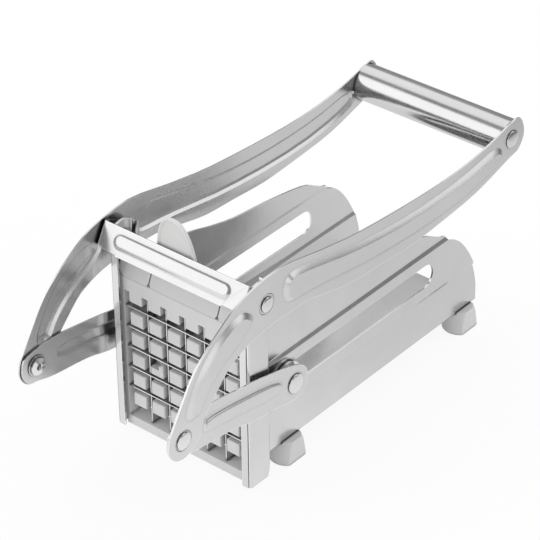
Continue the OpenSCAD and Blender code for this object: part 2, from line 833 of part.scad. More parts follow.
module link_rivet() {
    pin(link_in, link_out + eps, rivet_d, axle);
    dome(link_out, axle_head_d, 1.6, axle);
}

module right_link() {
    color(steel) placed() link();
}

module left_link() {
    color(steel) placed() mirror([1, 0, 0]) link();
}

module right_link_rivet() {
    color(bright) placed() link_rivet();
}

module left_link_rivet() {
    color(bright) placed() mirror([1, 0, 0]) link_rivet();
}

// Pusher
plate_half = wall_in - plate_gap;
plate_top = open_top + 1.4;
stud_top = open_top - 0.3;
carrier_y = plate_y + plate_t + web_depth;
carrier_half = roller_in - sleeve_l;
boss_d = 2 * carrier_screw_d;
carrier_screw_x = carrier_half - carrier_t - 6.5;
carrier_screw_z = (carrier_h - boss_d) / 2;
screw_places = [
    for (x = carrier_screw_x * [-1, 1])
        for (z = carrier_screw_z * [-1, 1])
            [x, axle_z + z]
];

// One column or row of studs, seen end on: a bar with bevelled front
module stud_profile(w, y0, y1) {
    polygon([
        [-w / 2, y1], [-w / 2, y0 + stud_bevel], [-w / 2 + stud_bevel, y0],
        [w / 2 - stud_bevel, y0], [w / 2, y0 + stud_bevel], [w / 2, y1]
    ]);
}

module studs(y0, rows) {
    intersection() {
        for (i = [0:cells - 1])
            translate([cell_at(i), 0, 0])
                linear_extrude(stud_top) stud_profile(stud_w, y0, plate_y + eps);
        for (i = rows)
            translate([-open_half, 0, grid_mid + cell_at(i)]) rotate([0, 90, 0])
                linear_extrude(2 * open_half) stud_profile(stud_h, y0, plate_y + eps);
    }
}

module plate_outline(inset) {
    r = 3;
    x = plate_half - inset - r;
    low = floor_top + plate_gap + inset + r;
    high = plate_top - inset - r;
    polygon(concat(
        arc([x, low], r, -90, 0, 5), arc([x, high], r, 0, 90, 5),
        arc([-x, high], r, 90, 180, 5), arc([-x, low], r, 180, 270, 5)
    ));
}

// Upright and level ribs behind the plate, behind every second blade
module plate_ribs() {
    for (i = [1:2:cells - 1]) {
        translate([blade_at(i) - web_t / 2, plate_y, 0]) cube([web_t, carrier_y - plate_y, plate_top]);
        translate([-plate_half, plate_y, grid_mid + blade_at(i) - web_t / 2])
            cube([2 * plate_half, carrier_y - plate_y, web_t]);
    }
}

module pusher_plate() {
    y1 = plate_y + plate_t;
    rib_rear = carrier_y - 1.5;
    color(plastic) placed() difference() {
        union() {
            along(plate_y, y1) plate_outline(0);
            difference() {
                along(y1 - eps, rib_rear) plate_outline(0);
                along(y1 - 1, carrier_y) plate_outline(web_t);
            }
            intersection() {
                along(y1 - eps, rib_rear) plate_outline(0);
                plate_ribs();
            }
            for (p = screw_places) along_pin(y1 - eps, carrier_y, boss_d, p);
            studs(-stud_out, [0:cells - 2]);
            studs(tooth_depth - bezel_front + 1, [cells - 1]);
        }
        for (p = screw_places) along_pin(y1, carrier_y + 1, carrier_screw_d, p);
    }
}

// A round pin along y at the point at = [x, z]
module along_pin(y0, y1, d, at) {
    translate([at[0], y1, at[1]]) rotate([90, 0, 0]) cylinder(h = y1 - y0, d = d);
}

// Side view of a cheek: square where it meets the back, round about the axle
module carrier_cheek() {
    low = axle_z - carrier_h / 2;
    intersection() {
        union() {
            translate(axle) circle(d = carrier_h);
            translate([carrier_y, low]) square([axle_y - carrier_y, carrier_h]);
        }
        translate([carrier_y, low]) square([axle_y - carrier_y + carrier_h / 2, carrier_h]);
    }
}

module pusher_carrier() {
    color(steel) placed() difference() {
        union() {
            translate([-carrier_half, carrier_y, axle_z - carrier_h / 2])
                cube([2 * carrier_half, carrier_t, carrier_h]);
            both_sides() across(carrier_half - carrier_t, carrier_half) carrier_cheek();
        }
        pin(-carrier_half - 1, carrier_half + 1, axle_d, axle);
        for (p = screw_places) along_pin(carrier_y - 1, carrier_y + carrier_t + 1, carrier_screw_d, p);
    }
}

module carrier_screws() {
    head_y = carrier_y + carrier_t;
    color(bright) placed() for (p = screw_places) {
        along_pin(plate_y + plate_t, head_y + eps, carrier_screw_d, p);
        along_pin(head_y, head_y + 2, 1.8 * carrier_screw_d, p);
    }
}

module cross_axle() {
    color(bright) placed() pin(-axle_end, axle_end, axle_d, axle);
}

module axle_sleeves() {
    sleeve_wall = 1.75;
    color(plastic) placed() both_sides()
        collar(carrier_half, roller_in, axle_d + 2 * sleeve_wall, axle_d, axle);
}

module slot_rollers() {
    color(plastic) placed() both_sides()
        collar(roller_in, washer_x, roller_d, axle_d + 2 * running_gap, axle);
}

module guide_washers() {
    color(bright) placed() both_sides() collar(washer_x, washer_x + washer_t, washer_d, axle_d, axle);
}

module retaining_rings() {
    ring_gap = 3;
    color(bright) placed() both_sides() difference() {
        collar(ring_x, ring_x + ring_t, 1.5 * axle_d, axle_d, axle);
        translate([ring_x - 1, axle_y, axle_z - ring_gap / 2]) cube([ring_t + 2, axle_d, ring_gap]);
    }
}

// Locking bar
module bar_section() {
    c = bar_x - bar_corner_r;
    n = bar_front - bar_corner_r;
    outer = concat([[bar_x, 10]], arc([c, -n], bar_corner_r, 0, -90, 6));
    inner = concat(arc([c, -n], bar_corner_r - lever_t, -90, 0, 6), [[bar_in, 10]]);
    polygon(concat(outer, flipped(outer), flipped(inner), inner));
}

// Side view of the bar before it leans: the face in front, the round end about the pivot
module bar_side() {
    half = bar_w / 2;
    inside = lever_t - bar_front;
    shoulder = 0.96 * bar_end_r;
    polygon([
        [-bar_front, -half], [inside, -half], [-2, -shoulder], [-2, shoulder], [inside, half],
        [-bar_front, half]
    ]);
    circle(bar_end_r);
}

module locking_bar() {
    half = bar_w / 2;
    inside = bar_front - lever_t;
    slope = 1.3;
    rib_low = 3.6 - half;
    rib_high = half - 2.6;
    rib_r = (rib_high - rib_low) / 2;
    rib_mid = (rib_low + rib_high) / 2;
    rib_half = open_half - 1.5 - rib_r;
    right = arc([rib_half, rib_mid], rib_r, -90, 90, 8);
    outline = concat(right, flipped(right));
    color(steel) placed() translate([0, pivot[0], pivot[1]]) rotate([-bar_lean, 0, 0]) difference() {
        union() {
            intersection() {
                translate([0, 0, -bar_front]) linear_extrude(2 * bar_front) bar_section();
                across(-bar_x - 1, bar_x + 1) bar_side();
            }
            turned_rib(outline, slope, bar_front - eps, bar_front + rib_h);
        }
        turned_rib(shrunk(outline, rib_wall), slope, inside - eps, inside + rib_h - eps);
        both_sides() {
            translate([open_half - 4.5, -bar_front - 1, -half - 1])
                cube([bar_x, bar_front / 2, 1 + bar_notch]);
            pin(bar_in - 1, bar_x + 1, rivet_d + 2 * running_gap, [0, 0]);
        }
    }
}

// A pressed rib on an x-z outline that rises towards -y
module turned_rib(outline, slope, y0, y1) {
    rotate([0, 0, -90]) rib([outline, len(outline) - 1], slope, y0, y1);
}

trough();
front_frame();
blade_holder();
vertical_blades();
horizontal_blades();
pivot_rivets();
pivot_spacers();
feet();
foot_screws();
right_arm();
left_arm();
handle_tube();
handle_plugs();
handle_screws();
crank_rivets();
crank_washers();
right_link();
right_link_rivet();
left_link();
left_link_rivet();
pusher_plate();
pusher_carrier();
carrier_screws();
cross_axle();
axle_sleeves();
slot_rollers();
guide_washers();
retaining_rings();
locking_bar();
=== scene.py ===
"""Looks of the french fry cutter: satin sheet steel, light plastic and a plain white studio.

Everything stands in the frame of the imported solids: the front is -Y, the handle is at the rear
and the feet stand on the floor at z = 0. Sizes of the studio and of the materials are in metres.
Sizes of the pieces are in millimetres, and MM turns them into metres where they are used.
"""

from __future__ import annotations

import json
import logging
import math
from dataclasses import dataclass, field
from enum import Enum
from typing import Any, Callable, Iterable, Sequence

import bmesh
import bpy
from mathutils import Matrix, Vector

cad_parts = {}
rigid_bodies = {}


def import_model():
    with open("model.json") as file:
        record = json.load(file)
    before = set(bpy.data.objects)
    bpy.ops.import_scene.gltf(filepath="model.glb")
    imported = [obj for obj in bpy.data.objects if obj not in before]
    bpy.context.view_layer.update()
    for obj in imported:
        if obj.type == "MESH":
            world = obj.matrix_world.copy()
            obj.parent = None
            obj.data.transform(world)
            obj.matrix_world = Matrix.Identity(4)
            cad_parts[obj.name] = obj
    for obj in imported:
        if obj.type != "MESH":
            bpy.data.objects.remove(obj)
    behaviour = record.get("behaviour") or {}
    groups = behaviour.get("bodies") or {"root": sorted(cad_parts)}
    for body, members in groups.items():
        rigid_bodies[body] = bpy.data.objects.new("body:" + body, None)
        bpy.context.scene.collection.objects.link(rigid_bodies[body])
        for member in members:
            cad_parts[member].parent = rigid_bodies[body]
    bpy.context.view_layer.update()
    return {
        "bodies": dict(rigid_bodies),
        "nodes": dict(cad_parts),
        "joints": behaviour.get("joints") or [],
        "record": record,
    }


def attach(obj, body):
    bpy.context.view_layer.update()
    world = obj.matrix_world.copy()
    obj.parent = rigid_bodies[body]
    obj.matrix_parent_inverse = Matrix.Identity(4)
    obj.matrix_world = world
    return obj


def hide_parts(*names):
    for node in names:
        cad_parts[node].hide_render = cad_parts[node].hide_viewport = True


log = logging.getLogger("fry_cutter")
MM = 0.001
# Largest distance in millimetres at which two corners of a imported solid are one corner.
MERGE = 0.012
# Largest angle in degrees between two faces that are one flat face.
FLAT = 0.6
# Largest angle in degrees across which a piece is shaded smooth.
SMOOTH = 35.0
# Smallest part of a face's normal along X at which the face looks sideways.
SIDEWAYS = 0.999
# Largest part of a face's normal along Y at which the face looks forward.
FORWARD = -0.98
# Play in millimetres when a face or a corner is looked up by its place.
PLAY = 0.02


class Grain(Enum):
    """Direction in which a steel surface is brushed, as the stretch of its pattern."""

    ACROSS = (0.03, 1.0, 1.0)
    UPRIGHT = (1.0, 1.0, 0.03)
    NONE = (1.0, 1.0, 1.0)


class Wire:
    """A value in a node tree, on which the ordinary operators add Math nodes."""

    def __init__(self, bench: "NodeBench", socket: bpy.types.NodeSocket) -> None:
        """Wraps one output socket of a node on the bench."""
        self.bench = bench
        self.socket = socket

    def _math(self, operation: str, first: Any, second: Any = None) -> "Wire":
        """Adds one Math node.

        Args:
            operation: Blender's name of the operation.
            first: A number or a wire.
            second: A second number or wire, if the operation takes one.

        Returns:
            The wire that leaves the node.
        """
        values = {0: first} if second is None else {0: first, 1: second}
        return self.bench.node("ShaderNodeMath", {"operation": operation}, values)

    def __add__(self, other: Any) -> "Wire":
        """This value plus another."""
        return self._math("ADD", self, other)

    def __radd__(self, other: Any) -> "Wire":
        """A number plus this value."""
        return self._math("ADD", other, self)

    def __sub__(self, other: Any) -> "Wire":
        """This value less another."""
        return self._math("SUBTRACT", self, other)

    def __rsub__(self, other: Any) -> "Wire":
        """A number less this value."""
        return self._math("SUBTRACT", other, self)

    def __mul__(self, other: Any) -> "Wire":
        """This value times another."""
        return self._math("MULTIPLY", self, other)

    def __rmul__(self, other: Any) -> "Wire":
        """A number times this value."""
        return self._math("MULTIPLY", other, self)

    def __truediv__(self, other: Any) -> "Wire":
        """This value over another."""
        return self._math("DIVIDE", self, other)

    def __rtruediv__(self, other: Any) -> "Wire":
        """A number over this value."""
        return self._math("DIVIDE", other, self)


class NodeBench:
    """A material's or the world's node tree, and the one way in which nodes are put into it."""

    def __init__(self, owner: bpy.types.ID) -> None:
        """Empties the owner's node tree.

        Args:
            owner: A material or a world.
        """
        owner.use_nodes = True
        self.tree = owner.node_tree
        self.tree.nodes.clear()

    def node(
        self,
        kind: str,
        settings: dict[str, Any] | None = None,
        values: dict[Any, Any] | None = None,
        out: Any = 0,
    ) -> Wire:
        """Adds a node, sets it up and links it.

        Args:
            kind: The node's type.
            settings: The node's own properties.
            values: Socket name or index to a number, a colour or a wire.
            out: Name or index of the output that is handed back.

        Returns:
            The wire that leaves the node.
        """
        made = self.tree.nodes.new(kind)
        for key, value in (settings or {}).items():
            setattr(made, key, value)
        for key, value in (values or {}).items():
            socket = made.inputs[key]
            if isinstance(value, Wire):
                self.tree.links.new(value.socket, socket)
            else:
                socket.default_value = value
        return Wire(self, made.outputs[out]) if made.outputs else Wire(self, None)

    def blend(self, share: Wire, first: Any, second: Any) -> Wire:
        """Mixes two colours, each a wire or a plain one.

        Args:
            share: How much of the second colour there is, from 0 to 1.
            first: The first colour.
            second: The second colour.

        Returns:
            The mixed colour.
        """
        values = {"Factor": share, "A": first, "B": second}
        return self.node("ShaderNodeMix", {"data_type": "RGBA"}, values, out=2)

    def clamped(self, value: Wire) -> Wire:
        """Keeps a value between 0 and 1."""
        return self.node("ShaderNodeClamp", values={"Value": value})

    def finish(self, surface: Wire) -> None:
        """Makes a shader the material's surface."""
        self.node("ShaderNodeOutputMaterial", values={"Surface": surface})


def grey(level: float) -> tuple[float, float, float, float]:
    """A neutral colour of that level."""
    return (level, level, level, 1.0)


@dataclass(frozen=True)
class Pattern:
    """A noise pattern.

    Attributes:
        scale: Number of its cells in a metre.
        detail: Number of finer layers.
        roughness: Strength of the finer layers.
        distortion: How much it is warped.
    """

    scale: float
    detail: float = 2.0
    roughness: float = 0.5
    distortion: float = 0.0

    def lay(self, bench: NodeBench, place: Wire) -> Wire:
        """Adds the pattern at these coordinates."""
        values = {
            "Vector": place,
            "Scale": self.scale,
            "Detail": self.detail,
            "Roughness": self.roughness,
            "Distortion": self.distortion,
        }
        return bench.node("ShaderNodeTexNoise", values=values)


@dataclass(frozen=True)
class CreaseShadeAndRimHighlight:
    """Painted shade in the creases of a surface and painted highlights along its edges.

    Attributes:
        crease: Reach of the painted shade round a crease in metres.
        rim: Reach of the painted highlight along an edge in metres.
        crease_shade: How steeply the painted shade grows with the depth of a crease, and what is
            taken off it.
        rim_highlight: The same for the painted highlight along an edge.
        samples: Number of rays with which a place looks round.
    """

    crease: float = 0.002
    rim: float = 0.0005
    crease_shade: tuple[float, float] = (2.6, 0.12)
    rim_highlight: tuple[float, float] = (2.4, 0.3)
    samples: int = 8

    def paint_shade_and_highlight(
        self, bench: NodeBench, colour: Wire, painted_shade_tone: Sequence[float], bright: Sequence[float]
    ) -> Wire:
        """Paints shade into a colour in the creases and a highlight along the edges.

        Args:
            bench: The material's bench.
            colour: The plain colour.
            painted_shade_tone: Colour of the painted shade in the creases.
            bright: Colour of the painted highlight along the edges.

        Returns:
            The colour with the painted shade and the painted highlight.
        """
        kind, rays = "ShaderNodeAmbientOcclusion", {"samples": self.samples}
        within = {**rays, "inside": True, "only_local": True}
        # Ambient occlusion darkens the colour in creases as painted shade and lightens it along
        # edges as a painted highlight.
        hollow = bench.node(kind, rays, {"Distance": self.crease}, out="AO")
        solid = bench.node(kind, within, {"Distance": self.rim}, out="AO")
        steep, less = self.crease_shade
        crease_shade = bench.clamped((1.0 - hollow) * steep - less)
        steep, less = self.rim_highlight
        highlight_share = bench.clamped((1.0 - solid) * steep - less)
        return bench.blend(crease_shade, bench.blend(highlight_share, colour, bright), painted_shade_tone)


@dataclass(frozen=True)
class SatinSteel:
    """Stainless sheet or tube with a fine brushed grain.

    Attributes:
        name: The material's name.
        level: Reflectance of the metal.
        roughness: Middle roughness.
        grain: Direction of the brushing.
        streaks: How strongly the broad streaks show.
        fine: Pattern of the fine scratches.
        fine_share: Strength of the fine scratches beside the broad ones.
        broad: Pattern of the broad scratches.
        cloud: Pattern of the cloudy patches.
        tones: Darkest and brightest patch, as shares of the level.
        tone_gain: How strongly streaks and patches shift the tone.
        rough_gain: How strongly streaks and patches shift the roughness.
        painted_shade_tone: Level of the painted shade in the creases, as a share of the level.
        bright: Level of the painted highlight along the edges, as a share of the level, and its
            upper limit.
        bump: Strength of the scratches' relief and its height in metres.
    """

    name: str
    level: float = 0.66
    roughness: float = 0.22
    grain: Grain = Grain.NONE
    streaks: float = 0.03
    fine: Pattern = Pattern(5200.0, 2.0, 0.6)
    fine_share: float = 0.6
    broad: Pattern = Pattern(620.0, 3.0, 0.55)
    cloud: Pattern = Pattern(34.0, 5.0, distortion=0.8)
    tones: tuple[float, float] = (0.9, 1.1)
    tone_gain: tuple[float, float] = (6.0, 0.9)
    rough_gain: tuple[float, float] = (2.0, 0.16)
    painted_shade_tone: float = 0.38
    bright: tuple[float, float] = (1.4, 0.95)
    bump: tuple[float, float] = (0.04, 0.0001)

    def build(self) -> bpy.types.Material:
        """Makes the material."""
        material = bpy.data.materials.new(self.name)
        bench = NodeBench(material)
        place = bench.node("ShaderNodeTexCoord", out="Object")
        drawn = bench.node("ShaderNodeMapping", values={"Vector": place, "Scale": self.grain.value})
        fine = self.fine.lay(bench, drawn)
        broad = self.broad.lay(bench, drawn)
        patch = self.cloud.lay(bench, place) - 0.5
        streak = (fine - 0.5) * self.fine_share + (broad - 0.5)
        by_streak, by_patch = self.tone_gain
        shade = 0.5 + streak * (by_streak * self.streaks) + patch * by_patch
        dark, light = (grey(min(self.level * tone, 1.0)) for tone in self.tones)
        # The steel's colour gets painted shade in its creases and a painted highlight along its
        # edges.
        highlight_share, limit = self.bright
        colour = CreaseShadeAndRimHighlight().paint_shade_and_highlight(
            bench,
            bench.blend(shade, dark, light),
            grey(self.level * self.painted_shade_tone),
            grey(min(self.level * highlight_share, limit)),
        )
        by_streak, by_patch = self.rough_gain
        rough = self.roughness + streak * (by_streak * self.streaks) + patch * by_patch
        strength, height = self.bump
        bump = bench.node(
            "ShaderNodeBump", values={"Strength": strength, "Distance": height, "Height": streak}
        )
        bench.finish(
            bench.node(
                "ShaderNodeBsdfPrincipled",
                values={"Base Color": colour, "Metallic": 1.0, "Roughness": rough, "Normal": bump},
            )
        )
        return material


@dataclass(frozen=True)
class MouldedPlastic:
    """Opaque moulded plastic or rubber with a fine even skin.

    Attributes:
        name: The material's name.
        colour: The plastic's colour.
        roughness: Middle roughness.
        grain_size: Size of the skin's grain in metres.
        cloud: Pattern of the cloudy patches.
        tones: Darkest and brightest patch, as shares of the colour.
        rough_gain: How strongly the patches shift the roughness.
        painted_shade_tone: Level of the painted shade in the creases, as a share of the colour's
            red.
        bright: Level of the painted highlight along the edges.
        bump: Strength of the skin's relief and its height in metres.
    """

    name: str
    colour: tuple[float, float, float] = (0.84, 0.84, 0.835)
    roughness: float = 0.42
    grain_size: float = 0.0004
    cloud: Pattern = Pattern(45.0)
    tones: tuple[float, float] = (0.96, 1.04)
    rough_gain: float = 0.1
    painted_shade_tone: float = 0.6
    bright: float = 0.97
    bump: tuple[float, float] = (0.1, 0.0001)

    def build(self) -> bpy.types.Material:
        """Makes the material."""
        material = bpy.data.materials.new(self.name)
        bench = NodeBench(material)
        place = bench.node("ShaderNodeTexCoord", out="Object")
        skin = Pattern(1.0 / self.grain_size).lay(bench, place)
        cloud = self.cloud.lay(bench, place)
        dark, light = ((*(part * tone for part in self.colour), 1.0) for tone in self.tones)
        # The plastic's colour gets painted shade in its creases and a painted highlight along its
        # edges.
        colour = CreaseShadeAndRimHighlight().paint_shade_and_highlight(
            bench,
            bench.blend(cloud, dark, light),
            grey(self.colour[0] * self.painted_shade_tone),
            grey(self.bright),
        )
        strength, height = self.bump
        bump = bench.node(
            "ShaderNodeBump", values={"Strength": strength, "Distance": height, "Height": skin}
        )
        rough = self.roughness + (cloud - 0.5) * self.rough_gain
        bench.finish(
            bench.node(
                "ShaderNodeBsdfPrincipled",
                values={"Base Color": colour, "Roughness": rough, "Normal": bump},
            )
        )
        return material


@dataclass
class Finishes:
    """Every finish of the cutter, made once.

    Attributes:
        sheet: Trough, front frame, carrier and locking bar.
        lever: Arms and links.
        handle: Handle tube.
        bright: Rivets, screws, washers and axle.
        blade: Blades.
        plastic: Blade holder, pusher plate, plugs, sleeves and rollers.
        foot: Feet.
    """

    sheet: bpy.types.Material = field(default_factory=SatinSteel("satin_sheet_steel").build)
    lever: bpy.types.Material = field(
        default_factory=SatinSteel("pressed_lever_steel", 0.66, 0.25, Grain.NONE, 0.02).build
    )
    handle: bpy.types.Material = field(
        default_factory=SatinSteel("brushed_handle_steel", 0.66, 0.2, Grain.ACROSS, 0.12).build
    )
    bright: bpy.types.Material = field(
        default_factory=SatinSteel("bright_rivet_steel", 0.72, 0.07, Grain.NONE, 0.03).build
    )
    blade: bpy.types.Material = field(
        default_factory=SatinSteel("blade_steel", 0.62, 0.3, Grain.UPRIGHT, 0.05).build
    )
    plastic: bpy.types.Material = field(default_factory=MouldedPlastic("light_plastic").build)
    foot: bpy.types.Material = field(
        default_factory=MouldedPlastic("foot_rubber", (0.78, 0.78, 0.775), 0.5, 0.0006).build
    )


def dress(piece: bpy.types.Object, material: bpy.types.Material) -> None:
    """Gives a mesh one material in every slot.

    Args:
        piece: The mesh object.
        material: Its finish.
    """
    if not piece.material_slots:
        piece.data.materials.append(material)
    for slot in piece.material_slots:
        slot.material = material


class Model:
    """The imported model, with the body and the material slot of each node."""

    def __init__(self, frame: dict[str, Any]) -> None:
        """Reads what belongs to what.
        """
        self.nodes = frame["nodes"]
        record = frame["record"]
        bodies = record["behaviour"]["bodies"]
        self.body = {node: body for body, names in bodies.items() for node in names}
        self.slot = {part["node"]: part["material_slot"] for part in record["subparts"]}

    def hand_over(self, piece: bpy.types.Object, node: str) -> None:
        """Lets a finished piece stand for a node and move with its body.

        Args:
            piece: The finished piece, in place.
            node: The node that it stands for.
        """
        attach(piece, self.body[node])
        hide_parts(node)
        log.info("%s stands for %s", piece.name, node)


def only(piece: bpy.types.Object) -> None:
    """Selects one object and makes it active."""
    bpy.ops.object.select_all(action="DESELECT")
    piece.select_set(True)
    bpy.context.view_layer.objects.active = piece


def deselect(mesh: bmesh.types.BMesh) -> None:
    """Deselects everything in a mesh that is being edited."""
    for part in (mesh.faces, mesh.edges, mesh.verts):
        for item in part:
            item.select_set(False)


@dataclass(frozen=True)
class Edges:
    """A kind of edge, by the angle between its faces, and how it is rounded.

    Attributes:
        sharper: Smallest angle in degrees.
        flatter: Largest angle in degrees.
        width: Width of the rounding in millimetres.
        segments: Number of faces across the rounding.
    """

    sharper: float
    flatter: float
    width: float
    segments: int = 2


@dataclass(frozen=True)
class Box:
    """A box that is cut away, in millimetres.

    Attributes:
        low: Its lowest corner.
        high: Its highest corner.
    """

    low: tuple[float, float, float]
    high: tuple[float, float, float]


@dataclass(frozen=True)
class Ring:
    """Round grooves that are pressed round the rivets, in millimetres.

    Attributes:
        places: Middles of the grooves (y, z) with the distance of the sheet's face from the
            cutter's middle plane.
        radius: Radius of a groove.
        depth: Depth of a groove.
        steps: Number of straight stretches round a groove and across it.
    """

    places: tuple[tuple[float, float, float], ...]
    radius: float = 5.3
    depth: float = 0.22
    steps: tuple[int, int] = (64, 8)


@dataclass(frozen=True)
class Rib:
    """How a rib is pressed into a sheet.

    Attributes:
        levels: Distances of the crest's two sides from the cutter's middle plane, in millimetres.
        slope: Extra width of the slope.
        lift: How far the crest is lifted.
        drop: How far the old upper edge of the slope goes down.
    """

    levels: tuple[float, float]
    slope: float
    lift: float
    drop: float


@dataclass(frozen=True)
class Crease:
    """The S-shaped creases along the trough's walls, in millimetres.

    Attributes:
        middles: Middle heights of the creases.
        height: Height of a crease as packed.
        stretch: How many times higher it is made.
        wall: Bounds of the walls' distance from the cutter's middle plane.
    """

    middles: tuple[float, float]
    height: float
    stretch: float
    wall: tuple[float, float]


class Workpiece:
    """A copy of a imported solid, which is merged, rounded and smoothed by hand."""

    def __init__(self, source: bpy.types.Object, name: str) -> None:
        """Copies a node's mesh and merges its loose triangles.

        Args:
            source: The node's object.
            name: Name of the new piece.
        """
        self.piece = bpy.data.objects.new(name, source.data.copy())
        bpy.context.scene.collection.objects.link(self.piece)
        only(self.piece)
        bpy.ops.object.mode_set(mode="EDIT")
        bpy.ops.mesh.select_all(action="SELECT")
        bpy.ops.mesh.remove_doubles(threshold=MERGE * MM)
        bpy.ops.mesh.dissolve_limited(angle_limit=math.radians(FLAT))
        bpy.ops.object.mode_set(mode="OBJECT")

    def rounded(self, kinds: Iterable[Edges]) -> "Workpiece":
        """Bevels the edges of each kind in turn.

        Blender narrows a bevel on the whole piece to what the shortest edges beside it allow.

        Args:
            kinds: The kinds of edge, widest rounding first.

        Returns:
            This workpiece.
        """
        only(self.piece)
        for kind in kinds:
            bpy.ops.object.mode_set(mode="EDIT")
            mesh = bmesh.from_edit_mesh(self.piece.data)
            deselect(mesh)
            low, high = math.radians(kind.sharper), math.radians(kind.flatter)
            for edge in mesh.edges:
                if len(edge.link_faces) == 2 and low < edge.calc_face_angle(0.0) < high:
                    edge.select_set(True)
            bmesh.update_edit_mesh(self.piece.data)
            bpy.ops.mesh.bevel(
                offset=kind.width * MM, segments=kind.segments, affect="EDGES", clamp_overlap=True
            )
            bpy.ops.object.mode_set(mode="OBJECT")
        return self

    def pick(self, wanted: Callable[[bmesh.types.BMFace], bool]) -> int:
        """Selects the faces that answer a question, in edit mode.

        Args:
            wanted: The question.

        Returns:
            How many faces were selected.
        """
        mesh = bmesh.from_edit_mesh(self.piece.data)
        deselect(mesh)
        found = [face for face in mesh.faces if wanted(face)]
        for face in found:
            face.select_set(True)
        bmesh.update_edit_mesh(self.piece.data)
        return len(found)

    def raised(self, rib: "Rib") -> "Workpiece":
        """Broadens the slopes of the pressed ribs and lifts their crests.

        Args:
            rib: How the rib is pressed.

        Returns:
            This workpiece.
        """
        only(self.piece)
        bpy.ops.object.mode_set(mode="EDIT")
        side = self.side()
        for level in rib.levels:

            def crest(face: bmesh.types.BMFace, level: float = level) -> bool:
                """Tells whether a face is the flat of a rib at this level."""
                middle = abs(face.calc_center_median().x)
                return abs(face.normal.x) > SIDEWAYS and abs(middle - level * MM) < PLAY * MM

            if not self.pick(crest):
                continue
            bpy.ops.mesh.inset(thickness=rib.slope * MM, depth=0.0, use_even_offset=True)
            bpy.ops.transform.translate(value=(side * rib.lift * MM, 0.0, 0.0))
            mesh = bmesh.from_edit_mesh(self.piece.data)
            old_rim = [v for v in mesh.verts if abs(abs(v.co.x) - level * MM) < PLAY / 4 * MM]
            deselect(mesh)
            for vertex in old_rim:
                vertex.select_set(True)
            bmesh.update_edit_mesh(self.piece.data)
            bpy.ops.transform.translate(value=(-side * rib.drop * MM, 0.0, 0.0))
        bpy.ops.object.mode_set(mode="OBJECT")
        return self

    def pushed_back(
        self, reach: tuple[float, float], lean: tuple[float, float], drop: float
    ) -> "Workpiece":
        """Lowers the crest of the rib on the locking bar, which looks forward and up.

        Args:
            reach: Bounds in millimetres of how far the crest's flat goes to the side.
            lean: Largest part of its normal along Y and smallest part along Z.
            drop: How far the crest goes back in millimetres.

        Returns:
            This workpiece.
        """
        only(self.piece)
        bpy.ops.object.mode_set(mode="EDIT")

        def crest(face: bmesh.types.BMFace) -> bool:
            """Tells whether a face is the crest's flat."""
            far = max(abs(vertex.co.x) for vertex in face.verts)
            leans = face.normal.y < lean[0] and face.normal.z > lean[1]
            return leans and reach[0] * MM < far < reach[1] * MM

        if self.pick(crest):
            mesh = bmesh.from_edit_mesh(self.piece.data)
            facing = next(face.normal.copy() for face in mesh.faces if face.select)
            bpy.ops.transform.translate(value=tuple(-facing * drop * MM))
        bpy.ops.object.mode_set(mode="OBJECT")
        return self

    def hollowed(
        self, hole: float, depth: float, slope: float, rolled: Iterable[tuple[float, float]]
    ) -> "Workpiece":
        """Sinks a hole into the inner ends of rivets, as a rolled tube end has.

        Args:
            hole: Radius of the hole in millimetres.
            depth: Depth of the hole in millimetres.
            slope: Share of the hole's radius that its side takes.
            rolled: Steps of the rim, each its share of the rim's width and its rise in millimetres.

        Returns:
            This workpiece.
        """
        only(self.piece)
        inner = min(abs(vertex.co.x) for vertex in self.piece.data.vertices)
        bpy.ops.object.mode_set(mode="EDIT")

        def end(face: bmesh.types.BMFace) -> bool:
            """Tells whether a face is an inner end."""
            middle = abs(face.calc_center_median().x)
            return abs(face.normal.x) > SIDEWAYS and abs(middle - inner) < PLAY * MM

        if self.pick(end):
            mesh = bmesh.from_edit_mesh(self.piece.data)
            area = max(face.calc_area() for face in mesh.faces if face.select)
            rim = math.sqrt(area / math.pi) - hole * MM
            for share, rise in rolled:
                bpy.ops.mesh.inset(thickness=rim * share, depth=rise * MM)
            bpy.ops.mesh.inset(thickness=hole * slope * MM, depth=-depth * MM)
        bpy.ops.object.mode_set(mode="OBJECT")
        return self

    def cut(self, boxes: Iterable["Box"]) -> "Workpiece":
        """Cuts grooves and notches out of the piece.

        Args:
            boxes: What is cut away.

        Returns:
            This workpiece.
        """
        for box in boxes:
            bpy.ops.object.select_all(action="DESELECT")
            bpy.ops.mesh.primitive_cube_add(size=1.0)
            cutter = bpy.context.object
            bpy.ops.object.mode_set(mode="EDIT")
            bpy.ops.mesh.select_all(action="SELECT")
            size = [(high - low) * MM for low, high in zip(box.low, box.high)]
            middle = [(high + low) / 2 * MM for low, high in zip(box.low, box.high)]
            bpy.ops.transform.resize(value=size, center_override=(0.0, 0.0, 0.0))
            bpy.ops.transform.translate(value=middle)
            bpy.ops.object.mode_set(mode="OBJECT")
            self.carve(cutter)
        return self

    def carve(self, cutter: bpy.types.Object) -> None:
        """Takes a cutter's shape out of the piece and throws the cutter away."""
        only(self.piece)
        away = self.piece.modifiers.new("cut", "BOOLEAN")
        away.operation = "DIFFERENCE"
        away.solver = "EXACT"
        away.object = cutter
        bpy.ops.object.modifier_apply(modifier=away.name)
        bpy.data.objects.remove(cutter, do_unlink=True)

    def side(self) -> float:
        """Side of the cutter on which the piece is: 1 for +X and -1 for -X."""
        return math.copysign(1.0, self.piece.data.vertices[0].co.x)

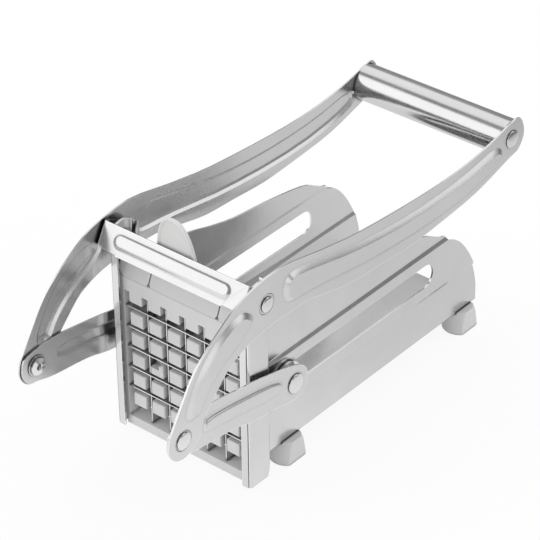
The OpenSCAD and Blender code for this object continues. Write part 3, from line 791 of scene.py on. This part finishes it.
    def ringed(self, ring: "Ring") -> "Workpiece":
        """Presses round grooves into the faces of the sheet.

        Args:
            ring: Where the grooves are and how large they are.

        Returns:
            This workpiece.
        """
        for along, up, level in ring.places:
            bpy.ops.object.select_all(action="DESELECT")
            bpy.ops.mesh.primitive_torus_add(
                location=(self.side() * level * MM, along * MM, up * MM),
                rotation=(0.0, math.pi / 2, 0.0),
                major_radius=ring.radius * MM,
                minor_radius=ring.depth * MM,
                major_segments=ring.steps[0],
                minor_segments=ring.steps[1],
            )
            self.carve(bpy.context.object)
        return self

    def framed(self, rim: float, slope: float, depth: float, above: float) -> "Workpiece":
        """Sinks the front of the thumb tab and leaves a rim round it.

        Args:
            rim: Width of the rim in millimetres.
            slope: Width of the slope inside it in millimetres.
            depth: Depth of the hollow in millimetres.
            above: Height in millimetres over which a front face belongs to the tab.

        Returns:
            This workpiece.
        """
        only(self.piece)
        bpy.ops.object.mode_set(mode="EDIT")

        def front(face: bmesh.types.BMFace) -> bool:
            """Tells whether a face is the tab's front."""
            return face.normal.y < FORWARD and face.calc_center_median().z > above * MM

        if self.pick(front):
            bpy.ops.mesh.inset(thickness=rim * MM, depth=0.0, use_even_offset=False)
            bpy.ops.mesh.inset(thickness=slope * MM, depth=-depth * MM, use_even_offset=False)
        bpy.ops.object.mode_set(mode="OBJECT")
        return self

    def softened(self, crease: "Crease") -> "Workpiece":
        """Makes the S-shaped creases along the walls gentler.

        Args:
            crease: Where the creases are and how much higher they become.

        Returns:
            This workpiece.
        """
        only(self.piece)
        bpy.ops.object.mode_set(mode="EDIT")
        inner, outer = crease.wall
        for middle in crease.middles:
            mesh = bmesh.from_edit_mesh(self.piece.data)
            deselect(mesh)
            for vertex in mesh.verts:
                on_wall = inner * MM < abs(vertex.co.x) < outer * MM
                if on_wall and abs(vertex.co.z - middle * MM) < (crease.height / 2 + PLAY) * MM:
                    vertex.select_set(True)
            bmesh.update_edit_mesh(self.piece.data)
            bpy.ops.transform.resize(
                value=(1.0, 1.0, crease.stretch), center_override=(0.0, 0.0, middle * MM)
            )
        bpy.ops.object.mode_set(mode="OBJECT")
        return self

    def smoothed(self) -> "Workpiece":
        """Shades the piece smooth, with flat faces kept flat.

        Returns:
            This workpiece.
        """
        only(self.piece)
        bpy.ops.object.shade_smooth_by_angle(angle=math.radians(SMOOTH))
        weighted = self.piece.modifiers.new("flat_faces", "WEIGHTED_NORMAL")
        weighted.keep_sharp = True
        bpy.ops.object.modifier_apply(modifier=weighted.name)
        return self


@dataclass
class PressedLevers:
    """Arms, links and locking bar: sheet steel with pressed ribs that run out softly.

    Attributes:
        ribs: Rounding of the ribs' feet and crests.
        cut_edges: Rounding of the sheet's cut edges.
        bar_reach: Bounds of how far the crest of the locking bar's rib goes to the side.
        bar_lean: Largest part of that crest's normal along Y and smallest part along Z.
        bar_drop: How far that crest is lowered.
        arm_rib: How the arms' ribs are pressed.
        link_rib: How the links' ribs are pressed.
        arm_rings: Grooves round the rivets in the arms.
    """

    ribs: Edges = Edges(17.0, 62.0, 0.65, 4)
    cut_edges: Edges = Edges(62.0, 180.0, 0.28, 3)
    bar_reach: tuple[float, float] = (30.0, 36.0)
    bar_lean: tuple[float, float] = (-0.8, 0.4)
    bar_drop: float = 0.3
    arm_rib: Rib = Rib((48.6, 47.7), 1.3, 0.55, 0.22)
    link_rib: Rib = Rib((47.5, 46.6), 0.9, 0.45, 0.1)
    arm_rings: Ring = Ring(((-67.1, 108.7, 47.4), (-126.7, 65.4, 47.4)))

    def build(self, model: Model, finishes: Finishes) -> None:
        """Makes each lever from its solid.

        Args:
            model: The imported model.
            finishes: The cutter's finishes.
        """
        pressed = {
            "right_arm": self.arm_rib, "left_arm": self.arm_rib,
            "right_link": self.link_rib, "left_link": self.link_rib,
            "locking_bar": None,
        }
        for node, rib in pressed.items():
            work = Workpiece(model.nodes[node], f"{node}_pressed")
            if rib:
                work.raised(rib)
            else:
                work.pushed_back(self.bar_reach, self.bar_lean, self.bar_drop)
            # The arms' shortest edges leave next to nothing of the bevel. On the links it would
            # only leave slivers that break the mesh.
            if rib is not self.link_rib:
                work.rounded((self.ribs, self.cut_edges))
            if rib is self.arm_rib:
                work.ringed(self.arm_rings)
            work.smoothed()
            dress(work.piece, finishes.lever if rib else finishes.sheet)
            model.hand_over(work.piece, node)


@dataclass
class Chassis:
    """Trough, front frame and pusher carrier: folded sheet steel.

    Attributes:
        cut_edges: Rounding of the sheet's cut edges.
        crease: The creases along the trough's walls.
        grooves: Lines that are rolled beside the front corners.
        nodes: The sheet parts.
    """

    cut_edges: Edges = Edges(50.0, 180.0, 0.18, 2)
    crease: Crease = Crease(middles=(37.1, 64.9), height=1.3, stretch=2.4, wall=(37.9, 40.3))
    grooves: tuple[Box, ...] = (
        Box((41.8, -77.0, 0.0), (42.2, -75.35, 110.0)),
        Box((-42.2, -77.0, 0.0), (-41.8, -75.35, 110.0)),
    )
    nodes: Sequence[str] = ("trough", "front_frame", "pusher_carrier")

    def build(self, model: Model, finishes: Finishes) -> None:
        """Makes each sheet part from its solid.

        Args:
            model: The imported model.
            finishes: The cutter's finishes.
        """
        for node in self.nodes:
            work = Workpiece(model.nodes[node], f"{node}_sheet")
            if node == "trough":
                work.softened(self.crease)
            work.rounded((self.cut_edges,))
            if node == "front_frame":
                work.cut(self.grooves)
            work.smoothed()
            dress(work.piece, finishes.sheet)
            model.hand_over(work.piece, node)


@dataclass
class Mouldings:
    """Blade holder, pusher plate and feet.

    The studs and the feet are bevelled. The holder keeps its packed edges, since a bevel with
    its short edges breaks the mesh.

    Attributes:
        pusher_edges: Rounding of the studs.
        foot_edges: Rounding of the feet.
        fold: Line along the foot of the holder's flap.
        notch: Corner that is cut out of one stud.
        tab_rim: Width of the thumb tab's rim and of the slope inside it, depth of the hollow, and
            height from which a front face belongs to the tab.
    """

    pusher_edges: Edges = Edges(40.0, 180.0, 0.45, 3)
    foot_edges: Edges = Edges(40.0, 180.0, 0.5, 3)
    fold: Box = Box((-38.5, -74.0, 91.3), (38.5, -72.75, 92.6))
    notch: Box = Box((-25.0, -76.0, 45.05), (-16.5, -68.8, 49.5))
    tab_rim: tuple[float, float, float, float] = (0.9, 0.5, 0.45, 112.0)

    def build(self, model: Model, finishes: Finishes) -> None:
        """Makes the mouldings from their solids.

        Args:
            model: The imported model.
            finishes: The cutter's finishes.
        """
        jobs = (
            ("blade_holder", None, finishes.plastic, (self.fold,)),
            ("pusher_plate", self.pusher_edges, finishes.plastic, (self.notch,)),
            ("feet", self.foot_edges, finishes.foot, ()),
        )
        for node, edges, finish, cuts in jobs:
            work = Workpiece(model.nodes[node], f"{node}_moulding")
            if edges:
                work.rounded((edges,))
            work.cut(cuts)
            if node == "blade_holder":
                work.framed(*self.tab_rim)
            work.smoothed()
            dress(work.piece, finish)
            model.hand_over(work.piece, node)


@dataclass
class TurnedParts:
    """Handle tube, rivets, screws, washers and the like: round parts with broken edges.

    Attributes:
        broken_edges: Rounding of their edges.
        tube_end: Radius and depth of the hole in a rivet's rolled end, and the share of the
            radius that the hole's side takes.
        rolled: Steps of that end's rim, each its share of the rim's width and its rise.
    """

    broken_edges: Edges = Edges(50.0, 180.0, 0.12, 2)
    tube_end: tuple[float, float, float] = (1.5, 1.2, 0.1)
    rolled: tuple[tuple[float, float], ...] = ((0.55, 0.15), (0.35, 0.3), (0.1, -0.3))

    def build(self, model: Model, finishes: Finishes) -> None:
        """Makes the round parts from their solids.

        Args:
            model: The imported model.
            finishes: The cutter's finishes.
        """
        plain, bright = finishes.plastic, finishes.bright
        finish_of = {
            "handle_tube": finishes.handle, "handle_plugs": plain, "axle_sleeves": plain,
            "slot_rollers": plain, "pivot_rivets": bright, "pivot_spacers": bright,
            "foot_screws": bright, "handle_screws": bright, "crank_rivets": bright,
            "crank_washers": bright, "right_link_rivet": bright, "left_link_rivet": bright,
            "carrier_screws": bright, "cross_axle": bright, "guide_washers": bright,
            "retaining_rings": bright,
        }
        for node, finish in finish_of.items():
            work = Workpiece(model.nodes[node], f"{node}_turned")
            if node == "crank_rivets":
                work.hollowed(*self.tube_end, self.rolled)
            work.rounded((self.broken_edges,)).smoothed()
            dress(work.piece, finish)
            model.hand_over(work.piece, node)


@dataclass
class Blades:
    """The two sets of blades, which show as they were packed.

    Attributes:
        nodes: The sets.
    """

    nodes: Sequence[str] = ("vertical_blades", "horizontal_blades")

    def build(self, model: Model, finishes: Finishes) -> None:
        """Dresses both sets.

        Args:
            model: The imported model.
            finishes: The cutter's finishes.
        """
        for node in self.nodes:
            dress(model.nodes[node], finishes.blade)
            log.info("dressed %s", node)


@dataclass
class Camera:
    """The photograph's point of view.

    Attributes:
        place: Where the camera stands.
        yaw: Turn round the cutter from its front, in degrees.
        elevation: Height above the horizon, in degrees.
        roll: Turn about the line of sight, in degrees.
        lens: Focal length in millimetres.
        sensor: Width of the sensor in millimetres.
        reach: Distance up to which things are seen.
    """

    place: tuple[float, float, float] = (0.6894, -0.8225, 0.7922)
    yaw: float = 40.26
    elevation: float = 33.84
    roll: float = -0.76
    lens: float = 175.0
    sensor: float = 36.0
    reach: float = 50.0

    def build(self) -> None:
        """Makes the camera and hands it to the scene."""
        yaw, high, roll = (math.radians(v) for v in (self.yaw, self.elevation, self.roll))
        flat = math.cos(high)
        back = Vector((math.sin(yaw) * flat, -math.cos(yaw) * flat, math.sin(high)))
        right = Vector((0.0, 0.0, 1.0)).cross(back).normalized()
        up = back.cross(right)
        level = math.cos(roll) * right + math.sin(roll) * up
        upright = -math.sin(roll) * right + math.cos(roll) * up
        turn = Matrix((level, upright, back)).transposed().to_4x4()
        data = bpy.data.cameras.new("photo_camera")
        data.lens = self.lens
        data.sensor_width = self.sensor
        data.clip_end = self.reach
        eye = bpy.data.objects.new("photo_camera", data)
        eye.matrix_world = Matrix.Translation(self.place) @ turn
        bpy.context.scene.collection.objects.link(eye)
        bpy.context.scene.camera = eye


@dataclass
class Softbox:
    """A large soft lamp.

    Attributes:
        name: The lamp's name.
        place: Where it stands.
        size: Width and height.
        radiance: How bright its face is, where white paper in full light is about 1.
        target: The point that it faces.
    """

    name: str
    place: tuple[float, float, float]
    size: tuple[float, float]
    radiance: float
    target: tuple[float, float, float] = (0.0, 0.0, 0.06)

    def build(self) -> None:
        """Makes the lamp."""
        data = bpy.data.lights.new(self.name, "AREA")
        data.shape = "RECTANGLE"
        data.size, data.size_y = self.size
        data.energy = self.radiance * math.pi * self.size[0] * self.size[1]
        lamp = bpy.data.objects.new(self.name, data)
        lamp.location = self.place
        aim = Vector(self.target) - Vector(self.place)
        lamp.rotation_euler = aim.to_track_quat("-Z", "Y").to_euler()
        lamp.visible_camera = False
        bpy.context.scene.collection.objects.link(lamp)


@dataclass
class Studio:
    """White floor, grey room and soft lamps.

    Attributes:
        ambient: Light level of the room on matt surfaces.
        room: Level of the room as the metal mirrors it.
        floor_size: Width of the floor.
        paper: Reflectance of the floor.
        shown: Level of the floor as the camera sees it.
        shine: Share of that level, and of the mirrored one, beside the floor's own shading.
        near_floor: Level of the floor in the metal, on the far right and on the near left.
        middle: Share of the near left's level in the middle of the floor.
        fall: How much that share falls with each metre in X and in Y.
        floor_reach: Distances between which the floor darkens in the metal.
        away: Direction in X and Y in which those distances are taken.
        far_floor: Level of the floor beyond them, as a share of the room's.
        boxes: The lamps.
    """

    ambient: float = 0.5
    room: float = 0.34
    floor_size: float = 12.0
    paper: float = 0.92
    shown: float = 1.03
    shine: float = 0.86
    near_floor: tuple[float, float] = (0.84, 1.22)
    middle: float = 0.45
    fall: tuple[float, float] = (1.2, 3.0)
    floor_reach: tuple[float, float] = (0.28, 0.46)
    away: tuple[float, float] = (0.55, 0.83)
    far_floor: float = 0.4
    boxes: Sequence[Softbox] = (
        Softbox("front_softbox", (-1.35, -1.75, 1.15), (2.6, 2.1), 1.08),
        Softbox("rear_softbox", (-0.5, 0.95, 1.75), (2.6, 1.8), 0.78),
        Softbox("right_softbox", (1.4, 1.25, 1.05), (1.8, 1.2), 0.9),
        Softbox("side_softbox", (1.7, -0.5, 0.5), (1.3, 1.0), 0.9),
        Softbox("left_softbox", (-1.8, 0.2, 0.6), (1.3, 1.0), 0.45),
    )

    def build(self) -> None:
        """Makes the room, the floor and the lamps."""
        world = bpy.data.worlds.new("grey_room")
        bpy.context.scene.world = world
        bench = NodeBench(world)
        camera = bench.node("ShaderNodeLightPath", out="Is Camera Ray")
        rays = camera.socket.node.outputs
        mirrored = Wire(bench, rays["Is Glossy Ray"])
        light = self.ambient + camera * (1.0 - self.ambient) + mirrored * (self.room - self.ambient)
        sky = bench.node("ShaderNodeBackground", values={"Color": grey(1.0), "Strength": light})
        bench.node("ShaderNodeOutputWorld", values={"Surface": sky})
        self.floor()
        for box in self.boxes:
            box.build()
        bpy.context.scene.view_settings.view_transform = "Standard"

    def floor(self) -> None:
        """Makes the floor: white to the camera, bright in the metal, with a faint shadow."""
        bpy.ops.object.select_all(action="DESELECT")
        bpy.ops.mesh.primitive_plane_add(size=self.floor_size)
        plane = bpy.context.object
        plane.name = "studio_floor"
        material = bpy.data.materials.new("white_floor")
        bench = NodeBench(material)
        camera = bench.node("ShaderNodeLightPath", out="Is Camera Ray")
        mirrored = Wire(bench, camera.socket.node.outputs["Is Glossy Ray"])
        place = bench.node("ShaderNodeTexCoord", out="Object")
        x = bench.node("ShaderNodeSeparateXYZ", values={"Vector": place})
        y = Wire(bench, x.socket.node.outputs["Y"])
        share = bench.clamped(self.middle - (x * self.fall[0] + y * self.fall[1]))
        near, far = self.floor_reach
        away = x * self.away[0] + y * self.away[1]
        fade = bench.clamped((far - away) / (far - near))
        dim, bright = self.near_floor
        dark = self.room * self.far_floor
        lit = dark + fade * (dim - dark + share * (bright - dim))
        level = lit * mirrored + camera * self.shown
        paper = bench.node("ShaderNodeBsdfDiffuse", values={"Color": grey(self.paper)})
        glow = bench.node("ShaderNodeEmission", values={"Color": grey(1.0), "Strength": level})
        factor = (camera + mirrored) * self.shine
        bench.finish(bench.node("ShaderNodeMixShader", values={0: factor, 1: paper, 2: glow}))
        dress(plane, material)


def main() -> None:
    """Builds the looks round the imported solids."""
    logging.basicConfig(level=logging.INFO, format="%(message)s")
    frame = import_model()
    finishes = Finishes()
    model = Model(frame)
    for node in model.nodes.values():
        dress(node, finishes.bright)
    for assembly in (PressedLevers(), Chassis(), Mouldings(), TurnedParts(), Blades()):
        assembly.build(model, finishes)
    Camera().build()
    Studio().build()


if __name__ == "__main__":
    main()
